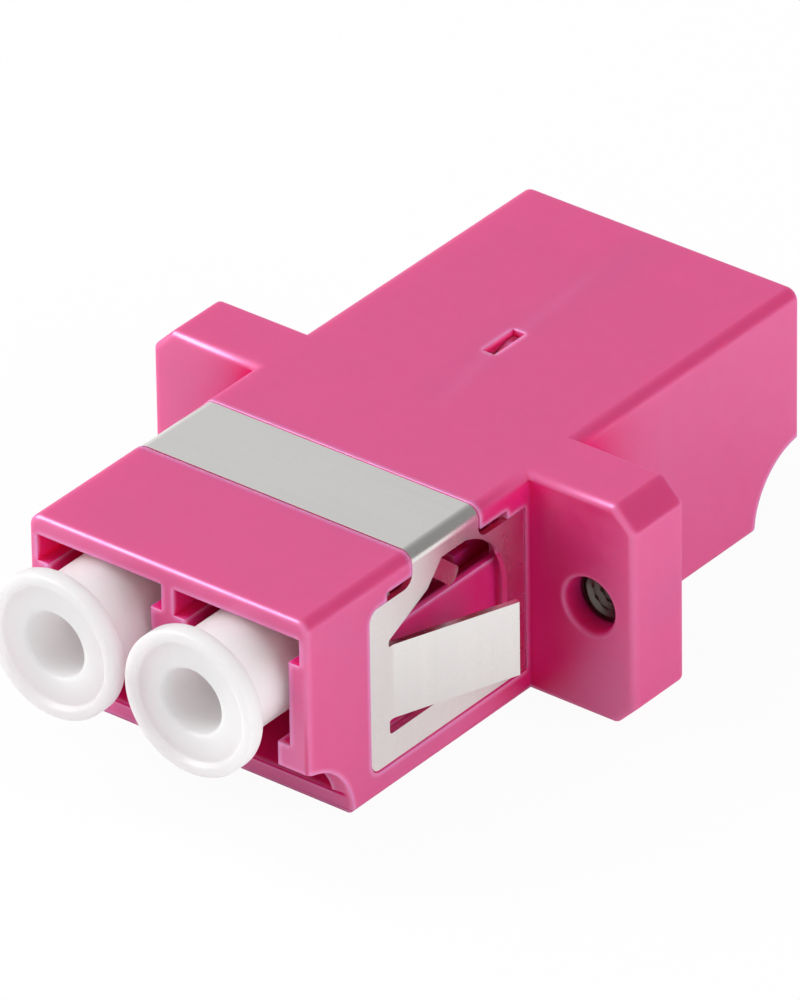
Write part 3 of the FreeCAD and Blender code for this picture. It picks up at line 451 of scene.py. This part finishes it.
class ADAPTER_OT_retainer(bpy.types.Operator):
    """Shows the sleeve retainer with rounded edges in satin magenta."""
    bl_idname = "adapter.retainer"
    bl_label = "Sleeve retainer"

    def execute(self, context):
        plastic = magenta_plastic("magenta_retainer", tinted(finish().magenta, 0.97))
        piece = smoothed("sleeve_retainer", "retainer_moulding", plastic)
        stand_for(piece, "sleeve_retainer", "adapter")
        return {"FINISHED"}


class ADAPTER_OT_clip(bpy.types.Operator):
    """Shows the mounting clip in satin rolled steel."""
    bl_idname = "adapter.clip"
    bl_label = "Mounting clip"

    def execute(self, context):
        piece = smoothed("mounting_clip", "clip_spring", rolled_steel("rolled_steel"))
        stand_for(piece, "mounting_clip", "adapter")
        return {"FINISHED"}


def cap_profile(reach, disc_radius):
    """A cap's section from the bottom of its face bore, over the disc and the barrel, to the tail bore."""
    size = sizes()
    rim = disc_radius - size.cap_rim
    tail = size.cap_bore_depth + size.cap_partition
    return rounded([
        (size.cap_bore_depth, 0.0, 0.0), (size.cap_bore_depth, size.cap_bore, 0.3 * MM),
        (size.cap_dish, size.cap_bore, 0.18 * MM), (size.cap_dish, rim - size.cap_draft, 0.12 * MM),
        (0.0, rim, 0.1 * MM), (0.0, disc_radius, 0.12 * MM),
        (size.cap_disc, disc_radius, 0.12 * MM), (size.cap_disc, size.cap_barrel, 0.12 * MM),
        (reach - size.cap_lead_in, size.cap_barrel, 0.1 * MM),
        (reach, size.cap_barrel - size.cap_lead_in, 0.08 * MM), (reach, size.cap_tail, 0.08 * MM),
        (tail, size.cap_tail, 0.2 * MM), (tail, 0.0, 0.0),
    ])


class ADAPTER_OT_caps(bpy.types.Operator):
    """Turns both dust caps as soft white mouldings with rounded lips."""
    bl_idname = "adapter.caps"
    bl_label = "Dust caps"

    def execute(self, context):
        plastic = white_plastic("white_caps", finish().white)
        for side in SIDES:
            middle, low, high = middle_of("dust_cap_" + side)
            profile = cap_profile(high.y - low.y, (high.x - low.x) / 2)
            mesh = grid_mesh("cap_%s_moulding" % side, revolve(profile, (middle.x, low.y, middle.z)))
            close_up(mesh, 1e-7)
            piece = new_piece("cap_%s_moulding" % side, mesh, plastic)
            stand_for(piece, "dust_cap_" + side, "cap_" + side)
        return {"FINISHED"}


def threaded_bush(low, high, columns=120):
    """Grid of an insert: a section carried round the axis whose bore is a thread and outside a knurl.

    The bore's radius is the core plus the thread's depth times a triangle wave of y / pitch - a / 2 pi,
    faded out at both ends, and the outside falls by a triangle wave of the angle a times the teeth.
    """
    size = sizes()
    reach, outside = high.y - low.y, (high.x - low.x) / 2
    lead = 0.5 * size.thread_pitch
    bore = np.linspace(0.0, reach, int(12 * reach / size.thread_pitch))
    rim = np.linspace(reach, 0.0, 24)
    along = np.concatenate([bore, rim])[:, None]
    core = np.concatenate([np.full(bore.size, size.thread_core), np.full(rim.size, outside)])[:, None]
    fade = np.clip(np.minimum(bore, reach - bore) / lead, 0.0, 1.0)
    groove = np.abs(rim - reach / 2) < size.groove_width / 2
    band = np.clip(np.minimum(rim, reach - rim) / size.knurl_bevel, 0.0, 1.0)
    threading = np.concatenate([size.thread_depth * fade, np.zeros(rim.size)])[:, None]
    widening = np.concatenate([size.thread_depth * (1 - fade), np.zeros(rim.size)])[:, None]
    knurling = np.concatenate([np.zeros(bore.size), np.where(groove, 0.0, size.knurl_depth * band)])[:, None]
    sinking = np.concatenate([np.zeros(bore.size), np.where(groove, size.groove_depth, 0.0)])[:, None]
    turn = np.linspace(0.0, 2.0 * np.pi, columns, endpoint=False)[None, :]
    wave = 1.0 - np.abs(2.0 * ((along / size.thread_pitch - turn / (2 * np.pi)) % 1.0) - 1.0)
    tooth = np.abs(2.0 * ((turn * size.knurl_count / (2 * np.pi)) % 1.0) - 1.0)
    radius = core + threading * wave + widening - knurling * tooth - sinking
    x = (low.x + high.x) / 2 + radius * np.sin(turn)
    z = (low.z + high.z) / 2 + radius * np.cos(turn)
    return np.stack([x, low.y + along + 0.0 * turn, z], axis=-1)


class ADAPTER_OT_inserts(bpy.types.Operator):
    """Turns both inserts with their thread and knurl in plated metal."""
    bl_idname = "adapter.inserts"
    bl_label = "Threaded inserts"

    def execute(self, context):
        metal = plated_metal("plated_metal")
        for side in SIDES:
            node = "threaded_insert_" + side
            mesh = grid_mesh("insert_%s_bush" % side, threaded_bush(*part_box(node)), along=True)
            close_up(mesh, 1e-8)
            piece = new_piece("insert_%s_bush" % side, mesh, metal)
            stand_for(piece, node, "adapter")
        return {"FINISHED"}


class ADAPTER_OT_sleeves(bpy.types.Operator):
    """Finishes the two split alignment sleeves in ground ceramic."""
    bl_idname = "adapter.sleeves"
    bl_label = "Alignment sleeves"

    def execute(self, context):
        ceramic = ground_ceramic("ground_ceramic")
        for side in SIDES:
            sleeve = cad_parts["alignment_sleeve_" + side]
            sleeve.data.materials.clear()
            sleeve.data.materials.append(ceramic)
        return {"FINISHED"}


def aimed_camera(stage):
    """The camera, on a line from the point it aims at that is given by azimuth and elevation."""
    aim = Vector(AIM) * MM
    a, e = stage.azimuth, stage.elevation
    back = Vector((math.sin(a) * math.cos(e), -math.cos(a) * math.cos(e), math.sin(e)))
    right = Vector((math.cos(a), math.sin(a), 0.0))
    up = back.cross(right)
    turned = right * math.cos(stage.roll) + up * math.sin(stage.roll)
    upright = up * math.cos(stage.roll) - right * math.sin(stage.roll)
    data = bpy.data.cameras.new("camera")
    data.lens, data.sensor_width = stage.focal, 36.0
    data.clip_start, data.clip_end = 0.01, 5.0
    camera = bpy.data.objects.new("camera", data)
    camera.matrix_world = (Matrix.Translation(aim + back * stage.distance)
                           @ Matrix((turned, upright, back)).transposed().to_4x4())
    bpy.context.scene.collection.objects.link(camera)
    bpy.context.scene.camera = camera


def soft_light(name, direction, power, mirrored=True):
    """A square area light that faces the adapter's middle, and is mirrored in it or not."""
    data = bpy.data.lights.new(name, "AREA")
    data.size, data.energy = LIGHT_SIZE, power
    light = bpy.data.objects.new(name, data)
    towards = Vector(direction).normalized()
    light.location = Vector((0.0, 0.0, 0.005)) + towards * LIGHT_DISTANCE
    light.rotation_mode = "QUATERNION"
    light.rotation_quaternion = towards.to_track_quat("Z", "Y")
    light.visible_glossy = mirrored
    bpy.context.scene.collection.objects.link(light)


def lit_rays(tree, to_eye, to_mirror):
    """One amount for camera rays, one for glossy and transmission rays, and 0 for all others."""
    path = tree.nodes.new("ShaderNodeLightPath")

    def maths(operation, first, second):
        node = tree.nodes.new("ShaderNodeMath")
        node.operation = operation
        tree.links.new(first, node.inputs[0])
        if isinstance(second, bpy.types.NodeSocket):
            tree.links.new(second, node.inputs[1])
        else:
            node.inputs[1].default_value = second
        return node.outputs[0]

    mirrored = maths("MAXIMUM", path.outputs["Is Glossy Ray"], path.outputs["Is Transmission Ray"])
    seen = maths("MULTIPLY", path.outputs["Is Camera Ray"], to_eye)
    return maths("MAXIMUM", seen, maths("MULTIPLY", mirrored, to_mirror)), path


def white_room(stage):
    """A world that is white to the eye and in reflections, with a dark part that gives metal its contrast."""
    world = bpy.data.worlds.new("room")
    bpy.context.scene.world = world
    world.use_nodes = True
    tree = world.node_tree
    tree.nodes.clear()
    seen, path = lit_rays(tree, 1.0, 1.0)

    def add(kind, **settings):
        node = tree.nodes.new(kind)
        for key, setting in settings.items():
            setattr(node, key, setting)
        return node

    even = add("ShaderNodeBackground")
    even.inputs["Strength"].default_value = stage.sky
    shown = add("ShaderNodeBackground")
    place = add("ShaderNodeTexCoord")
    towards = add("ShaderNodeVectorMath", operation="DOT_PRODUCT")
    towards.inputs[1].default_value = Vector(DARK_SIDE).normalized()
    tree.links.new(place.outputs["Generated"], towards.inputs[0])
    dark = add("ShaderNodeMapRange", interpolation_type="SMOOTHSTEP")
    for key, number in DARK_PART.items():
        dark.inputs[key].default_value = number
    tree.links.new(towards.outputs["Value"], dark.inputs["Value"])
    hidden = add("ShaderNodeMath", operation="MULTIPLY")
    tree.links.new(dark.outputs[0], hidden.inputs[0])
    tree.links.new(path.outputs["Is Glossy Ray"], hidden.inputs[1])
    level = add("ShaderNodeMath", operation="SUBTRACT")
    level.inputs[0].default_value = 1.0
    tree.links.new(hidden.outputs[0], level.inputs[1])
    tree.links.new(level.outputs[0], shown.inputs["Strength"])
    either = add("ShaderNodeMixShader")
    tree.links.new(seen, either.inputs[0])
    tree.links.new(even.outputs[0], either.inputs[1])
    tree.links.new(shown.outputs[0], either.inputs[2])
    output = add("ShaderNodeOutputWorld")
    tree.links.new(either.outputs[0], output.inputs["Surface"])


def pale_floor(stage):
    """A wide floor that shows as white and keeps a little of the adapter's shadow."""
    material = bpy.data.materials.new("pale_floor")
    material.use_nodes = True
    tree = material.node_tree
    tree.nodes.clear()
    seen, _ = lit_rays(tree, stage.floor_glow, stage.floor_mirror)
    diffuse = tree.nodes.new("ShaderNodeBsdfDiffuse")
    diffuse.inputs["Color"].default_value = (0.9, 0.9, 0.9, 1.0)
    glow = tree.nodes.new("ShaderNodeEmission")
    either = tree.nodes.new("ShaderNodeMixShader")
    tree.links.new(seen, either.inputs[0])
    tree.links.new(diffuse.outputs[0], either.inputs[1])
    tree.links.new(glow.outputs[0], either.inputs[2])
    output = tree.nodes.new("ShaderNodeOutputMaterial")
    tree.links.new(either.outputs[0], output.inputs["Surface"])
    half, drop = 1.5, -0.00002
    corners = np.array([[[-half, -half, drop], [half, -half, drop]], [[-half, half, drop], [half, half, drop]]])
    floor = new_piece("floor", grid_mesh("floor", corners, around=False), material)


class ADAPTER_OT_stage(bpy.types.Operator):
    """Sets up the camera, the white room, the floor and the lights."""
    bl_idname = "adapter.stage"
    bl_label = "Stage"

    def execute(self, context):
        stage = context.scene.adapter_stage
        aimed_camera(stage)
        white_room(stage)
        pale_floor(stage)
        soft_light("key", KEY_SIDE, stage.key)
        soft_light("fill", FILL_SIDE, stage.fill, mirrored=False)
        context.scene.view_settings.view_transform = "Standard"
        return {"FINISHED"}


OPERATORS = (ADAPTER_OT_stage, ADAPTER_OT_housing, ADAPTER_OT_retainer, ADAPTER_OT_clip,
             ADAPTER_OT_caps, ADAPTER_OT_inserts, ADAPTER_OT_sleeves)
GROUPS = {"adapter_sizes": AdapterSizes, "adapter_finish": AdapterFinish, "adapter_stage": AdapterStage}


class ADAPTER_PT_panel(bpy.types.Panel):
    """Lists the adapter's pieces and their settings."""
    bl_label = "Fibre adapter"
    bl_idname = "ADAPTER_PT_panel"
    bl_space_type = "VIEW_3D"
    bl_region_type = "UI"
    bl_category = "Adapter"

    def draw(self, context):
        for operator in OPERATORS:
            self.layout.operator(operator.bl_idname)
        for group in GROUPS:
            settings = getattr(context.scene, group)
            for name in settings.__annotations__:
                self.layout.prop(settings, name)


CLASSES = (*GROUPS.values(), *OPERATORS, ADAPTER_PT_panel)


def register():
    for item in CLASSES:
        bpy.utils.register_class(item)
    for name, group in GROUPS.items():
        setattr(bpy.types.Scene, name, PointerProperty(type=group))


def unregister():
    for name in GROUPS:
        delattr(bpy.types.Scene, name)
    for item in reversed(CLASSES):
        bpy.utils.unregister_class(item)


def main():
    """Makes everything in order."""
    register()
    bpy.ops.adapter.stage()
    bpy.ops.adapter.housing()
    bpy.ops.adapter.retainer()
    bpy.ops.adapter.clip()
    bpy.ops.adapter.caps()
    bpy.ops.adapter.inserts()
    bpy.ops.adapter.sleeves()
    bpy.context.view_layer.update()


if __name__ == "__main__":
    main()
